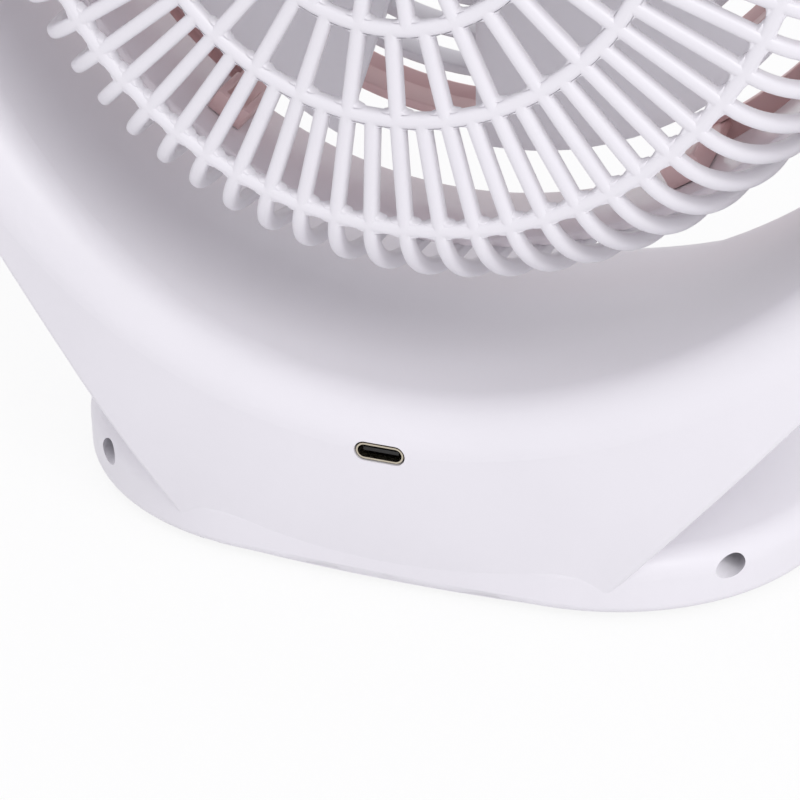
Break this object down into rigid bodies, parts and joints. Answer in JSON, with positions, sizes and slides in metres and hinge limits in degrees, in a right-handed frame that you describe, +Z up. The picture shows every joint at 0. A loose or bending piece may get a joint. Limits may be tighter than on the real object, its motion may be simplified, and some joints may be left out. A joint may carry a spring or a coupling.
{
  "type": "rechargeable desk fan",
  "caption": "Free-standing rechargeable desk fan: tilting round fan head with a ribbed cage in an open cradle housing, speed dial and charging socket.",
  "frame": {"origin": "on the table under the middle of the foot", "axes": "+Z up, -Y the way the fan blows, +Y the rear with the charging socket, +X to the left when seen from the rear"},
  "size_m": [0.236, 0.1024, 0.226],
  "materials": {
    "white_shell": "satin moulded white plastic",
    "white_cage": "satin moulded white plastic",
    "pink_plastic": "satin moulded pink plastic",
    "liner_plastic": "satin moulded pale mauve plastic",
    "blade_plastic": "satin pale grey plastic",
    "base_plastic": "fine matt texture",
    "dial_plastic": "satin black plastic",
    "pointer": "plain white",
    "foot_rubber": "matt rubber",
    "washer_rubber": "matt rubber",
    "bush_plastic": "natural nylon",
    "steel": "bright zinc",
    "socket_metal": "warm plated steel",
    "black_plastic": "plain black",
    "board": "green solder mask",
    "cell_wrap": "blue shrink sleeve",
    "motor_steel": "drawn steel",
    "magnet": "dark ferrite",
    "bronze": "sintered bronze",
    "core_steel": "laminated steel",
    "light_lens": "clear milky lens"
  },
  "bodies": {
    "housing": {"rear_shell": "white_shell", "front_shell": "white_shell", "shell_screws": "steel", "base_plate": "base_plastic", "plate_screws": "steel", "rubber_feet": "foot_rubber", "battery_cells": "cell_wrap", "battery_tray": "black_plastic", "main_board": "board", "board_screws": "steel", "socket_shell": "socket_metal", "socket_insert": "black_plastic", "speed_encoder": "black_plastic", "encoder_nut": "steel", "charge_lights": "light_lens", "pivot_bushes": "bush_plastic", "pivot_washers": "washer_rubber"},
    "dial": {"speed_dial": "dial_plastic", "encoder_shaft": "steel", "dial_pointer": "pointer"},
    "head": {"rear_cage": "white_cage", "pivot_pins": "steel", "pivot_clips": "steel", "motor_screws": "steel", "motor_can": "motor_steel", "motor_end_plate": "black_plastic", "motor_bushes": "bronze", "motor_magnets": "magnet", "cage_liner": "liner_plastic", "front_grille": "pink_plastic", "grille_insert": "white_cage", "grille_cap": "white_cage"},
    "rotor": {"armature": "core_steel", "motor_shaft": "steel", "fan_blades": "blade_plastic", "blade_nut": "pink_plastic"}
  },
  "joints": [
    {"name": "head_tilt", "type": "hinge", "parent": "housing", "child": "head", "pos_m": [0, 0.01, 0.14], "axis": [-1, 0, 0], "range_deg": [-30, 60]},
    {"name": "rotor_spin", "type": "hinge", "parent": "head", "child": "rotor", "pos_m": [0, 0.01, 0.14], "axis": [0, 1, 0], "continuous": true},
    {"name": "dial_turn", "type": "hinge", "parent": "housing", "child": "dial", "pos_m": [0, -0.03535, 0.02314], "axis": [0, 0.7926, -0.6097], "range_deg": [0, 270]}
  ]
}
